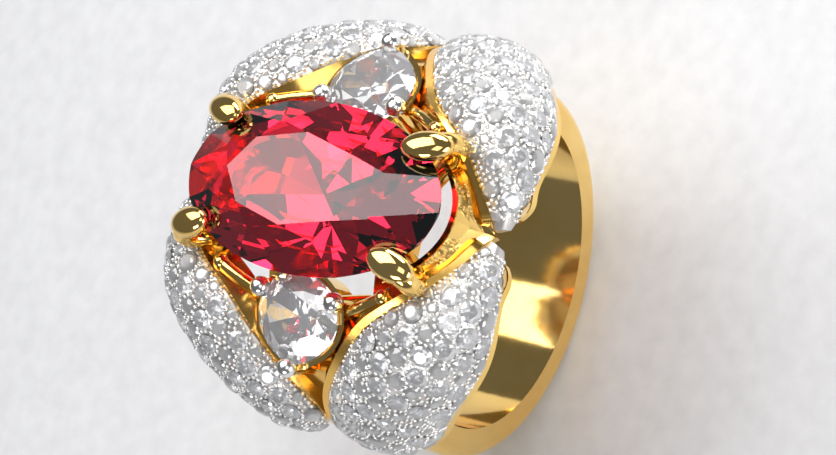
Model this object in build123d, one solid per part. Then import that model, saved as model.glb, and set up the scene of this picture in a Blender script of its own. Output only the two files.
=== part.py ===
from build123d import *
import os
from math import cos, pi, radians, sin, sqrt

os.makedirs("parts", exist_ok=True)

# The finger hole runs along Y and its centre is the origin. Z points up through the centre stone.

# Shank
BORE_R = 8.6
SHANK_R = 10.3
SHANK_HALF_W_BASE = 3.0
SHANK_HALF_W_RISE = 0.8
HEAD_GAP_DEG = 37.0

# Centre stone
OVAL_X = 4.55
OVAL_Y = 8.0
GIRDLE_Z = 13.2
GIRDLE_H = 0.2
CROWN_H = 1.55
PAVILION_H = 4.2

# Side stones
PEAR_X = 6.20
PEAR_Z = 11.0
PEAR_TILT_DEG = 17.0
PEAR_R = 2.55
PEAR_POINT = 2.50
PEAR_CROWN_H = 0.70
PEAR_PAVILION_H = 1.75
SIDE_BEAD_R = 0.54
SIDE_POST_R = 0.34

# Small stones set in the leaves
PAVE_R = 0.56
PAVE_SEAT_R = 0.60
PAVE_PITCH = 1.26
PAVE_ROW = 1.10
PAVE_START = 0.078
PAVE_SEAT_TURN_DEG = 45

# Leaves, as (inner rim point, outer edge point) stations from the end of the head to the shoulder
LEAF_STATIONS = [
    ((0.25, 9.30, 10.10), (0.55, 9.85, 9.45)),
    ((2.40, 8.20, 11.00), (3.20, 9.90, 8.70)),
    ((4.20, 6.70, 11.65), (5.90, 9.40, 7.60)),
    ((5.80, 4.60, 11.30), (7.50, 8.20, 6.50)),
    ((7.50, 2.90, 10.10), (8.50, 6.80, 5.10)),
    ((9.00, 1.40, 8.30), (9.40, 5.60, 3.70)),
    ((9.95, 0.45, 6.40), (10.25, 4.00, 2.90)),
    ((10.45, 0.30, 5.20), (10.70, 2.30, 3.20)),
]
LEAF_BULGE = 1.95
LEAF_BULGE_END = 0.25
LEAF_WALL = 0.75
RIM_WALL = 0.42
RIM_DROP = 1.5
LIP_WALL = 0.34

QUADRANTS = {"ne": (1, 1), "nw": (-1, 1), "se": (1, -1), "sw": (-1, -1)}


def mirrored(shape, quadrant):
    """Copy a shape made in the +X +Y quadrant into another quadrant."""
    sign_x, sign_y = QUADRANTS[quadrant]
    if sign_x < 0:
        shape = mirror(shape, about=Plane.YZ)
    if sign_y < 0:
        shape = mirror(shape, about=Plane.XZ)
    return shape


def save(shape, node):
    """Write one node."""
    export_step(shape, f"parts/{node}.step")


def without_crumbs(shape):
    """Every solid left by a cut, as a group, without loose crumbs."""
    found = [s for s in shape.solids() if s.volume > 0.15]
    return found[0] if len(found) == 1 else Compound(children=found)


def largest(shape):
    """The largest solid left by a cut, without loose crumbs."""
    return max(shape.solids(), key=lambda s: s.volume)


# ---------------------------------------------------------------- shank


def shank_half_width(z):
    """Half the shank's width at a height: it widens evenly towards the head."""
    return SHANK_HALF_W_BASE + SHANK_HALF_W_RISE * (1 + z / SHANK_R)


def ring_band(inner_r, outer_r, length):
    """A plain tube along Y, centred on the origin."""
    tube = Cylinder(outer_r, length) - Cylinder(inner_r, length + 1)
    return Rot(90, 0, 0) * tube


def head_wedge(half_angle):
    """A wedge above the finger hole that spans the head, open towards +Z."""
    reach = 16.0
    side = reach * sin(radians(half_angle))
    top = reach * cos(radians(half_angle))
    profile = Plane.XZ * Polygon((0, 0), (-side, top), (side, top), align=None)
    return extrude(profile, 10, both=True)


def make_shank():
    """An open band whose sides taper towards the palm."""
    band = ring_band(BORE_R, SHANK_R, 24)
    low, high = -12.0, 9.5
    wide_low = shank_half_width(low)
    wide_high = shank_half_width(high)
    side = Plane.YZ * Polygon(
        (-wide_low, low), (wide_low, low), (wide_high, high), (-wide_high, high), align=None
    )
    band = band & extrude(side, 12, both=True)
    band = band - head_wedge(HEAD_GAP_DEG)
    rounded = [
        e
        for e in band.edges()
        if e.length > 20 and abs(sqrt((e @ 0.5).X ** 2 + (e @ 0.5).Z ** 2) - SHANK_R) < 0.05
    ]
    return fillet(rounded, 0.55)


def make_gallery_rail():
    """The bar that closes the shank under the +Y half of the head."""
    rail = ring_band(BORE_R, BORE_R + 1.25, 24) & head_wedge(HEAD_GAP_DEG)
    return rail & Pos(0, 3.45, 10) * Box(30, 1.6, 14)


# ---------------------------------------------------------------- stones


def oval_outline(angle):
    """Point on the centre stone's outline, measured as an angle on a stretched circle."""
    return OVAL_X * cos(angle), OVAL_Y * sin(angle)


def pear_outline(angle):
    """Point on a side stone's outline, its point towards +X."""
    x, y = cos(angle), sin(angle)
    if x <= 0:
        return PEAR_R * 0.88 * x, PEAR_R * y
    fullness = 1 - 0.30 * x**3
    return PEAR_POINT * x, PEAR_R * y * fullness


def plane_cut(stone, a, b, c):
    """Remove what lies beyond the plane through three points, seen from the stone's centre."""
    normal = (b - a).cross(c - a).normalized()
    if normal.dot(a) < 0:
        normal = -normal
    cutter = Plane(origin=a, z_dir=normal)
    return split(stone, bisect_by=cutter, keep=Keep.BOTTOM)


def faceted_stone(outline, girdle_face, crown_h, pavilion_h, table, star):
    """A brilliant-cut stone whose girdle is centred on z = 0."""
    half = GIRDLE_H / 2

    def at(angle, share, z):
        x, y = outline(angle)
        return Vector(share * x, share * y, z)

    stone = extrude(girdle_face, pavilion_h + half + 0.5, both=True)
    top = half + crown_h
    stone = split(stone, bisect_by=Plane(origin=(0, 0, top), z_dir=(0, 0, 1)), keep=Keep.BOTTOM)
    step = pi / 4
    nudge = 0.02
    tip_z = half + 0.80 * crown_h
    for k in range(8):
        angle = k * step
        tip = angle + step / 2
        main = at(angle, 1, half)
        stone = plane_cut(stone, at(angle, table, top), at(angle - nudge, 1, half), at(angle + nudge, 1, half))
        stone = plane_cut(stone, at(angle, table, top), at(angle + step, table, top), at(tip, star, tip_z))
        stone = plane_cut(stone, main, at(tip, 1, half), at(tip, star, tip_z))
        stone = plane_cut(stone, at(angle + step, 1, half), at(tip, 1, half), at(tip, star, tip_z))
    low = -half - pavilion_h
    culet = Vector(0, 0, low)
    for k in range(8):
        angle = k * step
        tip = angle + step / 2
        lower_tip = at(tip, 0.28, low + 0.22 * pavilion_h)
        stone = plane_cut(stone, culet, at(angle - nudge, 1, -half), at(angle + nudge, 1, -half))
        stone = plane_cut(stone, at(angle, 1, -half), at(tip, 1, -half), lower_tip)
        stone = plane_cut(stone, at(angle + step, 1, -half), at(tip, 1, -half), lower_tip)
    return largest(stone)


def make_centre_gem():
    """The large oval stone."""
    face = Ellipse(OVAL_X, OVAL_Y)
    stone = faceted_stone(oval_outline, face, CROWN_H, PAVILION_H, 0.54, 0.68)
    return Pos(0, 0, GIRDLE_Z) * stone


def pear_place():
    """Where the +X side stone's girdle sits: its plane leans down and outwards."""
    return Pos(PEAR_X, 0, PEAR_Z) * Rot(0, PEAR_TILT_DEG, 0)


def pear_face(grow):
    """The side stone's outline, grown outwards by a margin."""
    points = []
    for k in range(48):
        x, y = pear_outline(2 * pi * k / 48)
        size = sqrt(x * x + y * y)
        points.append((x * (size + grow) / size, y * (size + grow) / size))
    return make_face(Polyline(*points, close=True))


def make_side_gem():
    """The pear-shaped stone on the +X side."""
    stone = faceted_stone(pear_outline, pear_face(0), PEAR_CROWN_H, PEAR_PAVILION_H, 0.56, 0.72)
    return pear_place() * stone


# ---------------------------------------------------------------- settings


def oval_ring(grow_in, grow_out, low, high, lean):
    """An oval wall between two heights, its foot drawn in by the lean."""

    def shell(grow):
        foot = Pos(0, 0, low) * Ellipse(OVAL_X + grow - lean, OVAL_Y + grow - lean)
        head = Pos(0, 0, high) * Ellipse(OVAL_X + grow, OVAL_Y + grow)
        return loft([foot.face(), head.face()])

    return shell(grow_out) - shell(grow_in)


def make_basket_wall(gem):
    """The thin curved wall below the girdle at the +Y end of the centre stone."""
    ring = oval_ring(0.12, 0.42, GIRDLE_Z - 2.2, GIRDLE_Z - 0.85, 0.45) - gem
    return largest(ring & Pos(0, 10.9, 0) * Box(20, 11, 40))


def make_base_rail(gem):
    """The small oval rail that ties the feet of the claws together."""
    foot = Pos(0, 0, 9.7) * (Ellipse(2.35, 5.35) - Ellipse(1.55, 4.55))
    return largest(extrude(foot, 0.8) - gem)


def make_centre_claw(gem, wall, rail):
    """A claw in the +X +Y quadrant: a leg, and a polished oval pad over the girdle."""
    path = Spline((2.10, 4.62, 9.75), (3.15, 6.60, 11.4), (3.62, 7.35, 12.5), (3.35, 6.95, 13.45))
    leg = sweep(Plane(origin=path @ 0, z_dir=path % 0) * Circle(0.58), path=path)
    pad = scale(Sphere(1.0), by=(1.38, 0.82, 0.68))
    lean = Plane(origin=(3.10, 6.52, 13.68), x_dir=(0.25, 0.93, -0.28), z_dir=(0.35, 0.20, 0.92))
    pad = lean * pad
    leg = largest(leg - gem - wall - rail)
    pad = largest(pad - gem - wall)
    return largest(leg + pad)


def make_side_collet(gem):
    """The tapered wall under the +X side stone."""
    outer = extrude(pear_face(0.30), amount=-1.75, taper=14)
    inner = extrude(pear_face(-0.22), amount=-2.05, taper=14)
    wall = Pos(0, 0, -0.14) * (outer - inner)
    return largest(pear_place() * wall - gem)


def side_claw_spots():
    """Where the +X side stone's three claws stand, in the plane of its girdle."""
    spots = []
    for angle in (0.0, radians(118), radians(-118)):
        x, y = pear_outline(angle)
        size = sqrt(x * x + y * y)
        spots.append((x * (size + 0.26) / size, y * (size + 0.26) / size))
    return spots


def make_side_posts(blockers):
    """The three gold claw posts around the +X side stone."""
    posts = []
    for x, y in side_claw_spots():
        post = Pos(x, y, -1.15) * Cylinder(SIDE_POST_R, 2.6)
        post = pear_place() * post
        for other in blockers:
            post = post - other
        posts.append(largest(post))
    return Compound(children=posts)


def make_side_beads(blockers):
    """The rounded ends of the three claws around the +X side stone."""
    beads = []
    for x, y in side_claw_spots():
        bead = Pos(x * 0.96, y * 0.96, 0.36) * Sphere(SIDE_BEAD_R)
        bead = pear_place() * bead
        for other in blockers:
            bead = bead - other
        beads.append(largest(bead))
    return Compound(children=beads)


# ---------------------------------------------------------------- leaves


def through(points, place):
    """A smooth path through evenly numbered points; place runs from 0 to 1."""
    last = len(points) - 1
    spot = min(max(place, 0.0), 1.0) * last
    k = min(int(spot), last - 1)
    f = spot - k
    p1, p2 = points[k], points[k + 1]
    p0 = points[k - 1] if k > 0 else p1 + (p1 - p2)
    p3 = points[k + 2] if k + 2 <= last else p2 + (p2 - p1)
    return (
        p1 * 2
        + (p2 - p0) * f
        + (p0 * 2 - p1 * 5 + p2 * 4 - p3) * f**2
        + (p1 * 3 - p0 - p2 * 3 + p3) * f**3
    ) * 0.5


INNER_RIM = [Vector(*inner) for inner, outer in LEAF_STATIONS]
OUTER_EDGE = [Vector(*outer) for inner, outer in LEAF_STATIONS]


def leaf_frame(place):
    """The rim point, edge point and outward direction of a leaf at one place along it."""
    inner = through(INNER_RIM, place)
    outer = through(OUTER_EDGE, place)
    ahead = through(INNER_RIM, place + 0.02) + through(OUTER_EDGE, place + 0.02)
    behind = through(INNER_RIM, place - 0.02) + through(OUTER_EDGE, place - 0.02)
    outward = (ahead - behind).cross(outer - inner).normalized()
    return inner, outer, outward


def leaf_height(place):
    """How far a leaf's crest stands off the line between its rim and its edge."""
    return LEAF_BULGE_END + LEAF_BULGE * max(sin(pi * place), 0.0) ** 0.8


def leaf_point(place, across):
    """A point on a leaf's domed face."""
    inner, outer, outward = leaf_frame(place)
    rise = leaf_height(place) * (4 * across * (1 - across)) ** 0.6
    return inner + (outer - inner) * across + outward * rise


def leaf_section(place):
    """One closed slice through a leaf, domed outside and hollowed inside."""
    inner, outer, outward = leaf_frame(place)
    span = outer - inner
    shares = (0.0, 0.08, 0.26, 0.5, 0.74, 0.92, 1.0)
    dome = Spline(*[leaf_point(place, s) for s in shares])
    foot_in = inner + span * 0.13
    foot_out = outer - span * 0.13
    hollow_rise = leaf_height(place) - LEAF_WALL
    hollow = [
        foot_in + (foot_out - foot_in) * s + outward * (hollow_rise * 4 * s * (1 - s))
        for s in (0.0, 0.25, 0.5, 0.75, 1.0)
    ]
    under = Spline(*hollow)
    return Wire([dome.edge(), Line(outer, foot_out).edge(), under.edge(), Line(foot_in, inner).edge()])


def make_leaf_plate():
    """The domed white plate of the +X +Y leaf, before its stone seats are cut."""
    wires = [leaf_section(k / 10) for k in range(11)]
    return Solid.make_loft(wires, ruled=False)


def strip_along(path_points, side_points):
    """A solid strip lofted through four-cornered slices."""
    wires = []
    for corners in zip(path_points, *side_points):
        wires.append(Wire.make_polygon([tuple(c) for c in corners], close=True))
    return Solid.make_loft(wires, ruled=False)


def make_leaf_rim():
    """The polished gold wall along the inner rim of the +X +Y leaf."""
    near, near_low, far_low, far = [], [], [], []
    for k in range(13):
        place = 0.02 + 0.96 * k / 12
        inner, outer, outward = leaf_frame(place)
        across = (outer - inner).normalized()
        inwards = across * -1
        drop = outward * -RIM_DROP * (0.35 + 0.65 * sin(pi * place) ** 0.5)
        near.append(inner + inwards * 0.02 + outward * 0.16)
        near_low.append(inner + inwards * 0.02 + drop)
        far_low.append(inner + inwards * (RIM_WALL + 0.02) + drop)
        far.append(inner + inwards * (RIM_WALL + 0.02) + outward * 0.10)
    return strip_along(near, [near_low, far_low, far])


def make_leaf_lip():
    """The thin gold line along the outer edge of the +X +Y leaf."""
    near, near_low, far_low, far = [], [], [], []
    for k in range(12):
        place = 0.03 + 0.95 * k / 11
        inner, outer, outward = leaf_frame(place)
        across = (outer - inner).normalized()
        near.append(outer + across * 0.02 + outward * 0.30)
        near_low.append(outer + across * 0.02 - outward * 0.45)
        far_low.append(outer + across * (LIP_WALL + 0.02) - outward * 0.45)
        far.append(outer + across * (LIP_WALL + 0.02) + outward * 0.12)
    return strip_along(near, [near_low, far_low, far])


def arc_table(place):
    """Running length across a leaf's dome, as (share, length) pairs."""
    pairs = [(0.0, 0.0)]
    last = leaf_point(place, 0.0)
    total = 0.0
    for k in range(1, 61):
        here = leaf_point(place, k / 60)
        total += (here - last).length
        pairs.append((k / 60, total))
        last = here
    return pairs


def share_at(pairs, length):
    """The share across a leaf at which the running length is reached."""
    for (s0, l0), (s1, l1) in zip(pairs, pairs[1:]):
        if l1 >= length:
            return s0 + (s1 - s0) * (length - l0) / (l1 - l0)
    return 1.0


def pave_spots():
    """Staggered places for the small stones, as (point, outward direction) pairs."""
    spots = []
    place, row = PAVE_START, 0
    while place < 0.975:
        pairs = arc_table(place)
        room = pairs[-1][1] - 2 * 0.72
        count = int(room / PAVE_PITCH) + 1 if room > 0 else 0
        if count % 2 == row % 2:
            count -= 1
        middle = pairs[-1][1] / 2
        for j in range(max(count, 0)):
            length = middle + (j - (count - 1) / 2) * PAVE_PITCH
            share = share_at(pairs, length)
            point = leaf_point(place, share)
            along = leaf_point(place + 0.01, share) - leaf_point(place - 0.01, share)
            aside = leaf_point(place, share + 0.02) - leaf_point(place, share - 0.02)
            outward = along.cross(aside).normalized()
            if all((point - other).length > 2 * PAVE_SEAT_R for other, away in spots):
                spots.append((point, outward))
        step = (leaf_point(place + 0.01, 0.5) - leaf_point(place, 0.5)).length / 0.01
        place += PAVE_ROW / step
        row += 1
    return spots


def make_pave_stone():
    """One small eight-sided stone, its girdle at z = 0."""
    girdle = RegularPolygon(PAVE_R, 8)
    table = Pos(0, 0, 0.17) * RegularPolygon(PAVE_R * 0.58, 8)
    crown = loft([girdle.face(), table.face()], ruled=True)
    pavilion = Pos(0, 0, -0.19) * Cone(0.03, PAVE_R * cos(pi / 8), 0.38)
    return crown + pavilion


def make_pave_seat():
    """The space one small stone takes out of a leaf."""
    well = Pos(0, 0, 0.25) * Cylinder(PAVE_SEAT_R, 0.54)
    bottom = Pos(0, 0, -0.24) * Cone(0.03, PAVE_SEAT_R, 0.45)
    return Rot(0, 0, PAVE_SEAT_TURN_DEG) * (well + bottom)


# ---------------------------------------------------------------- head ends and shoulders


def make_end_panel():
    """The dished panel from the basket wall down to the +X half of the +Y end."""
    rows = [[] for corner in range(8)]
    thickness = Vector(0, -0.15, -0.55)
    sag = thickness * 0.4
    for place, x in ((0.0, 0.0), (0.06, 0.95), (0.12, 1.90), (0.185, 2.80), (0.25, 3.55)):
        inner, outer, outward = leaf_frame(place)
        across = (outer - inner).normalized()
        foot = inner - across * 0.08 - outward * 0.12
        if x == 0.0:
            foot = Vector(0, 9.50, 9.95)
        y = (OVAL_Y + 0.36) * sqrt(1 - (x / (OVAL_X + 0.36)) ** 2)
        head = Vector(x, y, GIRDLE_Z - 1.0)
        top = [foot, foot + (head - foot) * 0.33 + sag, foot + (head - foot) * 0.67 + sag, head]
        under = [p + thickness for p in reversed(top)]
        for row, corner in zip(rows, top + under):
            row.append(corner)
    return strip_along(rows[0], rows[1:])


def make_shoulder_web(blockers):
    """The saddle between two leaf rims below the +X side stone."""
    top_a, low_a, low_b, top_b = [], [], [], []
    for place in (0.70, 0.78, 0.86, 0.93, 0.98):
        inner, outer, outward = leaf_frame(place)
        across = (outer - inner).normalized()
        rim = inner - across * (RIM_WALL + 0.10) - outward * 0.55
        y = max(rim.Y, 0.06)
        top_a.append(Vector(rim.X, y, rim.Z))
        low_a.append(Vector(rim.X - 0.75, y, rim.Z - 0.25))
        low_b.append(Vector(rim.X - 0.75, -y, rim.Z - 0.25))
        top_b.append(Vector(rim.X, -y, rim.Z))
    web = strip_along(top_a, [low_a, low_b, top_b])
    for other in blockers:
        web = web - other
    return largest(web)


def make_bridge_bar(blockers):
    """The short rounded bar between a side setting and a centre claw."""
    path = Spline((5.35, 3.05, 10.85), (4.95, 4.15, 11.35), (4.45, 5.3, 11.75))
    bar = sweep(Plane(origin=path @ 0, z_dir=path % 0) * Circle(0.33), path=path)
    bar = bar + Pos(*(path @ 1)) * Sphere(0.42)
    for other in blockers:
        bar = bar - other
    return largest(bar)


def make_shoulder_tab(blockers):
    """The small rounded tab where a leaf's edge meets the shank."""
    tab = Pos(9.75, 4.55, 3.0) * Rot(0, 20, 0) * Box(1.1, 0.9, 1.5)
    tab = fillet(tab.edges(), 0.4)
    for other in blockers:
        tab = tab - other
    return largest(tab)


# ---------------------------------------------------------------- build every node

shank = make_shank()
save(shank, "shank")
centre_gem = make_centre_gem()
basket_wall = make_basket_wall(centre_gem)
base_rail = make_base_rail(centre_gem)
save(centre_gem, "centre_gem")
save(basket_wall, "basket_wall_north")
save(mirror(basket_wall, about=Plane.XZ), "basket_wall_south")
save(base_rail, "basket_base_rail")

gallery_rail = largest(make_gallery_rail() - base_rail)
save(gallery_rail, "gallery_rail_north")
save(mirror(gallery_rail, about=Plane.XZ), "gallery_rail_south")

side_gem = make_side_gem()
collet = largest(make_side_collet(side_gem) - centre_gem - basket_wall)
side_beads = make_side_beads([side_gem, collet, basket_wall, centre_gem])
saddle = make_shoulder_web([])
side_posts = make_side_posts([side_gem, collet, saddle, shank] + list(side_beads.solids()))
for side, flip in (("east", False), ("west", True)):
    for node, shape in (
        ("side_gem", side_gem),
        ("side_collet", collet),
        ("side_claw_beads", side_beads),
        ("side_claw_posts", side_posts),
    ):
        save(mirror(shape, about=Plane.YZ) if flip else shape, f"{node}_{side}")

claw = make_centre_claw(centre_gem, basket_wall, base_rail)
leaf_blank = make_leaf_plate()
leaf_rim = make_leaf_rim() & Pos(0, 10.02, 0) * Box(40, 20, 40)
for other in [leaf_blank, shank, collet] + list(side_posts.solids()):
    leaf_rim = largest(leaf_rim - other)
leaf_rim = without_crumbs(leaf_rim - claw)
leaf_lip = largest(make_leaf_lip() - leaf_blank - shank)

spots = pave_spots()
seat = make_pave_seat()
stone = make_pave_stone()
seats, stones = [], []
for point, outward in spots:
    place = Plane(origin=point, z_dir=outward).location
    seats.append(seat.moved(place))
    stones.append(stone.moved(place))
leaf_plate = largest(leaf_blank - seats)
stones = Compound(children=stones)

end_panel = largest(make_end_panel() - basket_wall - claw - leaf_rim - leaf_blank)
bridge_bar = make_bridge_bar([claw, basket_wall, collet, leaf_rim, centre_gem] + list(side_posts.solids()))
shoulder_tab = make_shoulder_tab([shank, leaf_plate, leaf_lip])
for quadrant in QUADRANTS:
    for node, shape in (
        ("centre_claw", claw),
        ("leaf_plate", leaf_plate),
        ("leaf_rim", leaf_rim),
        ("leaf_lip", leaf_lip),
        ("leaf_stones", stones),
        ("end_panel", end_panel),
        ("bridge_bar", bridge_bar),
        ("shoulder_tab", shoulder_tab),
    ):
        save(mirrored(shape, quadrant), f"{node}_{quadrant}")

web = make_shoulder_web([shank, leaf_rim, mirror(leaf_rim, about=Plane.XZ), collet] + list(side_posts.solids()))
save(web, "shoulder_web_east")
save(mirror(web, about=Plane.YZ), "shoulder_web_west")
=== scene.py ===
import math
import random

import bmesh
import bpy
from mathutils import Matrix, Vector


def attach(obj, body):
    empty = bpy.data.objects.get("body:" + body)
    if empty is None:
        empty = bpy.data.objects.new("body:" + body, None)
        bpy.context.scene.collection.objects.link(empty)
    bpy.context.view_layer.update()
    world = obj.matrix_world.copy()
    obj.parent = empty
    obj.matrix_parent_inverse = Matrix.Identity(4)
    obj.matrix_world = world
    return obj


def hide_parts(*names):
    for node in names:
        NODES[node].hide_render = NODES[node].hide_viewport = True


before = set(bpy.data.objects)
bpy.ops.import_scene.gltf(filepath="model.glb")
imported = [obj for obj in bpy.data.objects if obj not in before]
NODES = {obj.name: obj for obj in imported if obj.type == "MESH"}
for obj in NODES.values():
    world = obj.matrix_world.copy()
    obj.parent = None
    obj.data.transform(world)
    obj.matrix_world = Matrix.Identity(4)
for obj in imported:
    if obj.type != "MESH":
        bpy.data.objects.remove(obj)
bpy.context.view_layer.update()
MM = 0.001
QUADRANTS = {"ne": (1, 1), "nw": (-1, 1), "se": (1, -1), "sw": (-1, -1)}
random.seed(7)


# ---------------------------------------------------------------- materials


def new_material(name):
    """An empty node material with its shader."""
    mat = bpy.data.materials.new(name)
    mat.use_nodes = True
    tree = mat.node_tree
    shader = tree.nodes["Principled BSDF"]
    return mat, tree, shader


def noise(tree, scale, detail=3.0, rough=0.5):
    """Noise in object space."""
    coords = tree.nodes.new("ShaderNodeTexCoord")
    node = tree.nodes.new("ShaderNodeTexNoise")
    node.inputs["Scale"].default_value = scale
    node.inputs["Detail"].default_value = detail
    node.inputs["Roughness"].default_value = rough
    tree.links.new(coords.outputs["Object"], node.inputs["Vector"])
    return node


def ramp(tree, source, low, high, start=0.3, end=0.7):
    """Two colours spread over a value."""
    node = tree.nodes.new("ShaderNodeValToRGB")
    node.color_ramp.elements[0].position = start
    node.color_ramp.elements[0].color = (*low, 1)
    node.color_ramp.elements[1].position = end
    node.color_ramp.elements[1].color = (*high, 1)
    tree.links.new(source, node.inputs["Fac"])
    return node


def bump(tree, shader, source, strength, distance):
    """Fine surface relief."""
    node = tree.nodes.new("ShaderNodeBump")
    node.inputs["Strength"].default_value = strength
    node.inputs["Distance"].default_value = distance
    tree.links.new(source, node.inputs["Height"])
    tree.links.new(node.outputs["Normal"], shader.inputs["Normal"])


def metal(name, low, high, rough_low, rough_high, relief=0.15):
    """Polished precious metal with faint wear."""
    mat, tree, shader = new_material(name)
    shader.inputs["Metallic"].default_value = 1.0
    wide = noise(tree, 260, 3)
    tint = ramp(tree, wide.outputs["Fac"], low, high)
    tree.links.new(tint.outputs["Color"], shader.inputs["Base Color"])
    fine = noise(tree, 1500, 4)
    rough = tree.nodes.new("ShaderNodeMapRange")
    rough.inputs["To Min"].default_value = rough_low
    rough.inputs["To Max"].default_value = rough_high
    tree.links.new(fine.outputs["Fac"], rough.inputs["Value"])
    tree.links.new(rough.outputs["Result"], shader.inputs["Roughness"])
    bump(tree, shader, wide.outputs["Fac"], relief, 0.0001)
    return mat


def stone(name, low, high, ior, clear=1.0):
    """Clear cut stone with faint growth zones."""
    mat, tree, shader = new_material(name)
    shader.inputs["Transmission Weight"].default_value = clear
    shader.inputs["IOR"].default_value = ior
    shader.inputs["Roughness"].default_value = 0.0
    zones = noise(tree, 320, 2)
    tint = ramp(tree, zones.outputs["Fac"], low, high)
    tree.links.new(tint.outputs["Color"], shader.inputs["Base Color"])
    return mat


GOLD = metal("gold_polished", (0.95, 0.61, 0.17), (1.0, 0.70, 0.25), 0.06, 0.12)
# Rougher gold for the inner rims, webs and rails; its deeper, darker orange colour is painted shade
# and painted reflection of the surrounding gold on these inner parts.
GOLD_ROUGH_PAINTED_SHADE = metal("gold_rough_painted_shade", (0.92, 0.52, 0.11), (0.98, 0.62, 0.17), 0.12, 0.22, 0.35)
WHITE = metal("white_metal", (0.62, 0.60, 0.58), (0.76, 0.74, 0.72), 0.28, 0.42, 0.5)
WHITE_BEAD = metal("white_bead", (0.78, 0.76, 0.74), (0.90, 0.89, 0.87), 0.16, 0.26, 0.3)
RUBY = stone("red_stone", (0.86, 0.010, 0.035), (0.94, 0.020, 0.060), 1.77)
DIAMOND = stone("clear_stone", (0.97, 0.98, 1.0), (1.0, 1.0, 1.0), 2.42, 0.80)
SMALL_DIAMOND = stone("small_clear_stone", (0.90, 0.91, 0.93), (1.0, 1.0, 1.0), 2.42, 0.75)


def floor_material():
    """Plain pale matt card."""
    mat, tree, shader = new_material("pale_card")
    grain = noise(tree, 900, 4)
    tint = ramp(tree, grain.outputs["Fac"], (0.60, 0.60, 0.61), (0.66, 0.66, 0.67))
    tree.links.new(tint.outputs["Color"], shader.inputs["Base Color"])
    shader.inputs["Roughness"].default_value = 0.6
    return mat


def paint(node, mat):
    """Give a CAD node a better material."""
    obj = NODES[node]
    if not obj.material_slots:
        obj.data.materials.append(mat)
    for entry in obj.material_slots:
        entry.material = mat


for node in NODES:
    if node == "centre_gem":
        paint(node, RUBY)
    elif node.startswith("side_gem"):
        paint(node, DIAMOND)
    elif node.startswith("leaf_stones"):
        paint(node, SMALL_DIAMOND)
    elif node.startswith("leaf_plate"):
        paint(node, WHITE)
    elif node.startswith("side_claw_beads"):
        paint(node, WHITE_BEAD)
    # The inner rims, webs and rails get the rougher gold whose darker orange colour is painted
    # shade and painted reflection.
    elif node.startswith(("leaf_rim", "shoulder_web", "basket_base_rail", "gallery_rail")):
        paint(node, GOLD_ROUGH_PAINTED_SHADE)
    else:
        paint(node, GOLD)


# ---------------------------------------------------------------- the leaf's domed face

LEAF_STATIONS = [
    ((0.25, 9.30, 10.10), (0.55, 9.85, 9.45)),
    ((2.40, 8.20, 11.00), (3.20, 9.90, 8.70)),
    ((4.20, 6.70, 11.65), (5.90, 9.40, 7.60)),
    ((5.80, 4.60, 11.30), (7.50, 8.20, 6.50)),
    ((7.50, 2.90, 10.10), (8.50, 6.80, 5.10)),
    ((9.00, 1.40, 8.30), (9.40, 5.60, 3.70)),
    ((9.95, 0.45, 6.40), (10.25, 4.00, 2.90)),
    ((10.45, 0.30, 5.20), (10.70, 2.30, 3.20)),
]
LEAF_BULGE = 1.95
LEAF_BULGE_END = 0.25
PAVE_SEAT_R = 0.60
PAVE_PITCH = 1.26
PAVE_ROW = 1.10
PAVE_START = 0.078
PAVE_MARGIN = 0.72
STONE_R = 0.60
FILLER_SIZES = (0.50, 0.42, 0.34)
FILLER_EDGE = 0.12
FILLER_GAP = 0.05
GRAIN_SPACING = 0.27
GRAIN_EDGE = 0.2
GRAIN_SIZES = (0.10, 0.14)
GRAIN_LIFT = 0.03
INNER_RIM = [Vector(a) for a, b in LEAF_STATIONS]
OUTER_EDGE = [Vector(b) for a, b in LEAF_STATIONS]


def through(points, place):
    """A smooth path through evenly numbered points; place runs from 0 to 1."""
    last = len(points) - 1
    spot = min(max(place, 0.0), 1.0) * last
    k = min(int(spot), last - 1)
    f = spot - k
    p1, p2 = points[k], points[k + 1]
    p0 = points[k - 1] if k > 0 else p1 + (p1 - p2)
    p3 = points[k + 2] if k + 2 <= last else p2 + (p2 - p1)
    square = p0 * 2 - p1 * 5 + p2 * 4 - p3
    cube = p1 * 3 - p0 - p2 * 3 + p3
    return (p1 * 2 + (p2 - p0) * f + square * f**2 + cube * f**3) * 0.5


def leaf_frame(place):
    """The rim point, edge point and outward direction at one place along the leaf."""
    inner = through(INNER_RIM, place)
    outer = through(OUTER_EDGE, place)
    ahead = through(INNER_RIM, place + 0.02) + through(OUTER_EDGE, place + 0.02)
    behind = through(INNER_RIM, place - 0.02) + through(OUTER_EDGE, place - 0.02)
    outward = (ahead - behind).cross(outer - inner).normalized()
    return inner, outer, outward


def leaf_point(place, across):
    """A point on the leaf's domed face, in millimetres."""
    inner, outer, outward = leaf_frame(place)
    height = LEAF_BULGE_END + LEAF_BULGE * max(math.sin(math.pi * place), 0.0) ** 0.8
    rise = height * max(4 * across * (1 - across), 0.0) ** 0.6
    return inner + (outer - inner) * across + outward * rise


def leaf_normal(place, across):
    """The direction straight out of the dome."""
    along = leaf_point(place + 0.01, across) - leaf_point(place - 0.01, across)
    aside = leaf_point(place, across + 0.02) - leaf_point(place, across - 0.02)
    return along.cross(aside).normalized()


def arc_table(place):
    """Running length across the dome, as (share, length) pairs."""
    pairs = [(0.0, 0.0)]
    last = leaf_point(place, 0.0)
    total = 0.0
    for k in range(1, 61):
        here = leaf_point(place, k / 60)
        total += (here - last).length
        pairs.append((k / 60, total))
        last = here
    return pairs


def share_at(pairs, length):
    """The share across the dome at which the running length is reached."""
    for (s0, l0), (s1, l1) in zip(pairs, pairs[1:]):
        if l1 >= length:
            return s0 + (s1 - s0) * (length - l0) / (l1 - l0)
    return 1.0


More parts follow.
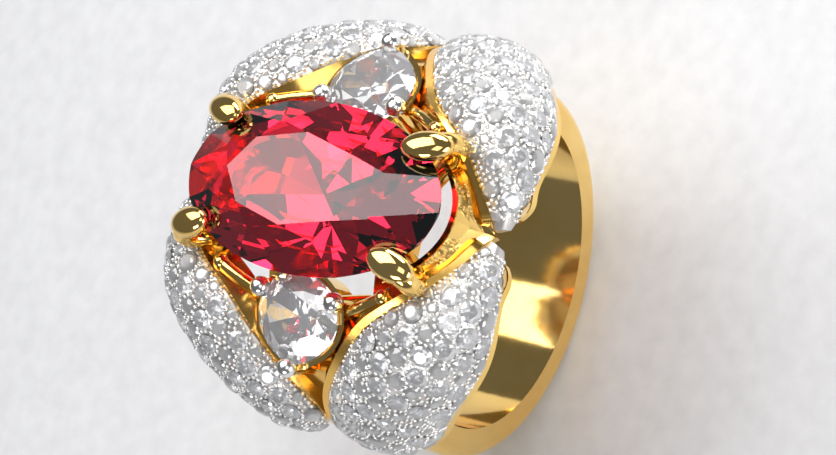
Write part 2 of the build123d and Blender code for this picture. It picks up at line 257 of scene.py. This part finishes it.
def pave_spots():
    """Where the small stones sit, as (point, outward direction)."""
    spots = []
    place, row = PAVE_START, 0
    while place < 0.975:
        pairs = arc_table(place)
        room = pairs[-1][1] - 2 * PAVE_MARGIN
        count = int(room / PAVE_PITCH) + 1 if room > 0 else 0
        if count % 2 == row % 2:
            count -= 1
        middle = pairs[-1][1] / 2
        for j in range(max(count, 0)):
            share = share_at(pairs, middle + (j - (count - 1) / 2) * PAVE_PITCH)
            point = leaf_point(place, share)
            if all((point - other).length > 2 * PAVE_SEAT_R for other, away in spots):
                spots.append((point, leaf_normal(place, share)))
        step = (leaf_point(place + 0.01, 0.5) - leaf_point(place, 0.5)).length / 0.01
        place += PAVE_ROW / step
        row += 1
    return spots


SPOTS = pave_spots()


# ---------------------------------------------------------------- mesh helpers


def finish_mesh(bm, name, mat, smooth):
    """Turn a bmesh made in millimetres into an object in metres."""
    for v in bm.verts:
        v.co *= MM
    bmesh.ops.recalc_face_normals(bm, faces=bm.faces)
    mesh = bpy.data.meshes.new(name)
    bm.to_mesh(mesh)
    bm.free()
    for face in mesh.polygons:
        face.use_smooth = smooth
    mesh.materials.append(mat)
    obj = bpy.data.objects.new(name, mesh)
    bpy.context.scene.collection.objects.link(obj)
    return obj


def facing(point, outward, turn=0.0):
    """A placement whose Z points outward."""
    spin = outward.to_track_quat("Z", "Y").to_matrix().to_4x4()
    return Matrix.Translation(point) @ spin @ Matrix.Rotation(turn, 4, "Z")


def flipped(point, quadrant):
    """A point or direction moved from the +X +Y quadrant to another one."""
    sx, sy = QUADRANTS[quadrant]
    return Vector((point.x * sx, point.y * sy, point.z))


def brilliant_points(r):
    """Corner points of a small round brilliant whose girdle is at z = 0."""
    points = []
    for k in range(8):
        a = k * math.pi / 4
        b = a + math.pi / 8
        points.append(Vector((0.55 * r * math.cos(a), 0.55 * r * math.sin(a), 0.33 * r)))
        points.append(Vector((0.76 * r * math.cos(b), 0.76 * r * math.sin(b), 0.225 * r)))
        points.append(Vector((0.80 * r * math.cos(a), 0.80 * r * math.sin(a), 0.185 * r)))
        points.append(Vector((0.30 * r * math.cos(b), 0.30 * r * math.sin(b), -0.53 * r)))
    for k in range(16):
        a = k * math.pi / 8
        points.append(Vector((r * math.cos(a), r * math.sin(a), 0.03 * r)))
        points.append(Vector((r * math.cos(a), r * math.sin(a), -0.02 * r)))
    points.append(Vector((0, 0, -0.72 * r)))
    return points


def add_hull(bm, points):
    """Add the closed shape that wraps a stone's corner points."""
    verts = [bm.verts.new(p) for p in points]
    bmesh.ops.convex_hull(bm, input=verts)
    loose = [v for v in verts if not v.link_faces]
    bmesh.ops.delete(bm, geom=loose, context="VERTS")


# ---------------------------------------------------------------- small stones and grains


def edge_room(place, share):
    """Distance from a place on the dome to the leaf's rim or edge."""
    point = leaf_point(place, share)
    ends = [leaf_point(0.02, 0.5), leaf_point(0.985, 0.5)]
    sides = [leaf_point(place, 0.0), leaf_point(place, 1.0)]
    return min((point - q).length for q in ends + sides)


def filler_spots():
    """Smaller stones in the room left near the rims."""
    found = []
    taken = [(p, STONE_R) for p, n in SPOTS]
    for size in FILLER_SIZES:
        place = 0.04
        while place < 0.975:
            pairs = arc_table(place)
            length = size + FILLER_EDGE
            while length < pairs[-1][1] - size - FILLER_EDGE:
                share = share_at(pairs, length)
                point = leaf_point(place, share)
                clear = all((point - q).length > r + size + FILLER_GAP for q, r in taken)
                if clear and edge_room(place, share) > size + 0.10:
                    found.append((point, leaf_normal(place, share), size))
                    taken.append((point, size))
                length += 0.08
            place += 0.006
    return found


FILLERS = filler_spots()


def make_leaf_stones(quadrant):
    """Every clear stone of one leaf, each turned and tipped a little."""
    bm = bmesh.new()
    for point, outward in SPOTS:
        lean = outward + Vector([random.uniform(-0.07, 0.07) for _ in range(3)])
        here = flipped(point, quadrant)
        there = flipped(lean.normalized(), quadrant)
        place = facing(here, there, random.uniform(0, 0.8))
        size = STONE_R * random.uniform(0.96, 1.0)
        add_hull(bm, [place @ p for p in brilliant_points(size)])
    for point, outward, size in FILLERS:
        place = facing(flipped(point, quadrant), flipped(outward, quadrant), random.uniform(0, 0.8))
        add_hull(bm, [place @ p for p in brilliant_points(size)])
    obj = finish_mesh(bm, f"leaf_brilliants_{quadrant}", SMALL_DIAMOND, False)
    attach(obj, "root")
    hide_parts(f"leaf_stones_{quadrant}")
    return obj


def grain_spots():
    """Places for the bead grains between the stones."""
    found = []
    stones = [(p, STONE_R) for p, n in SPOTS] + [(p, r) for p, n, r in FILLERS]
    place = 0.03
    while place < 0.985:
        pairs = arc_table(place)
        length = 0.22
        while length < pairs[-1][1] - GRAIN_EDGE:
            share = share_at(pairs, length)
            point = leaf_point(place, share)
            gap = min((point - q).length - r for q, r in stones)
            if gap > 0.02 and all((point - q).length > GRAIN_SPACING for q, n in found):
                found.append((point, leaf_normal(place, share)))
            length += 0.07
        place += 0.0045
    return found


GRAINS = grain_spots()


def make_grains(quadrant):
    """The white bead grains that hold one leaf's stones."""
    bm = bmesh.new()
    for point, outward in GRAINS:
        here = flipped(point + outward * GRAIN_LIFT, quadrant)
        r = random.uniform(*GRAIN_SIZES)
        squash = Matrix.Diagonal((1, 1, random.uniform(0.85, 1.1), 1))
        place = facing(here, flipped(outward, quadrant)) @ squash
        bmesh.ops.create_icosphere(bm, subdivisions=2, radius=r, matrix=place)
    obj = finish_mesh(bm, f"leaf_grains_{quadrant}", WHITE_BEAD, True)
    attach(obj, "root")
    return obj


for quadrant in QUADRANTS:
    make_leaf_stones(quadrant)
    make_grains(quadrant)


# ---------------------------------------------------------------- stage

BASE_Z = -10.3
FLOOR_HALF = 600


def make_floor():
    """A pale floor under the lowest point of the band."""
    bm = bmesh.new()
    signs = ((-1, -1), (1, -1), (1, 1), (-1, 1))
    corners = [Vector((x * FLOOR_HALF, y * FLOOR_HALF, BASE_Z)) for x, y in signs]
    bm.faces.new([bm.verts.new(c) for c in corners])
    floor = finish_mesh(bm, "floor", floor_material(), False)
    return floor


def softbox(name, place, target, width, height, watts, tint=(1, 1, 1)):
    """A rectangular soft light, placed in millimetres."""
    light = bpy.data.lights.new(name, "AREA")
    light.shape = "RECTANGLE"
    light.size = width * MM
    light.size_y = height * MM
    light.energy = watts
    light.color = tint
    obj = bpy.data.objects.new(name, light)
    bpy.context.scene.collection.objects.link(obj)
    obj.location = Vector(place) * MM
    obj.rotation_euler = (Vector(target) - Vector(place)).to_track_quat("-Z", "Y").to_euler()
    return obj


make_floor()
softbox("overhead", (-55, -45, 165), (0, 0, 8), 200, 170, 0.34)
softbox("top_edge", (-170, 30, 60), (0, 0, 6), 150, 60, 0.28)
softbox("front", (40, 190, 40), (0, 0, 2), 110, 60, 0.16)
softbox("low", (170, 20, 70), (0, 0, 4), 70, 50, 0.08)
softbox("fill", (35, 150, 190), (0, 0, 8), 120, 90, 0.07)


def make_world():
    """A dim, slightly cool surround, shown with plain colours."""
    world = bpy.data.worlds.new("studio")
    bpy.context.scene.world = world
    world.use_nodes = True
    background = world.node_tree.nodes["Background"]
    background.inputs["Color"].default_value = (0.9, 0.93, 1.0, 1)
    background.inputs["Strength"].default_value = 0.16
    bpy.context.scene.view_settings.view_transform = "Standard"


make_world()


# ---------------------------------------------------------------- camera

EYE = Vector((19.2367, 80.4225, 115.2134))
TARGET = Vector((-0.0487, 3.3417, 8.0))
ROLL_DEG = -61.1375
SENSOR_MM = 36.0
LENS_MM = 111.9617


def make_camera():
    """A long lens above one end of the finger hole, rolled onto its side."""
    cam = bpy.data.cameras.new("camera")
    cam.sensor_width = SENSOR_MM
    cam.lens = LENS_MM
    cam.clip_start = 0.005
    cam.clip_end = 5.0
    obj = bpy.data.objects.new("camera", cam)
    bpy.context.scene.collection.objects.link(obj)
    aim = (TARGET - EYE).to_track_quat("-Z", "Y").to_matrix().to_4x4()
    roll = Matrix.Rotation(math.radians(ROLL_DEG), 4, "Z")
    obj.matrix_world = Matrix.Translation(EYE * MM) @ aim @ roll
    bpy.context.scene.camera = obj


make_camera()
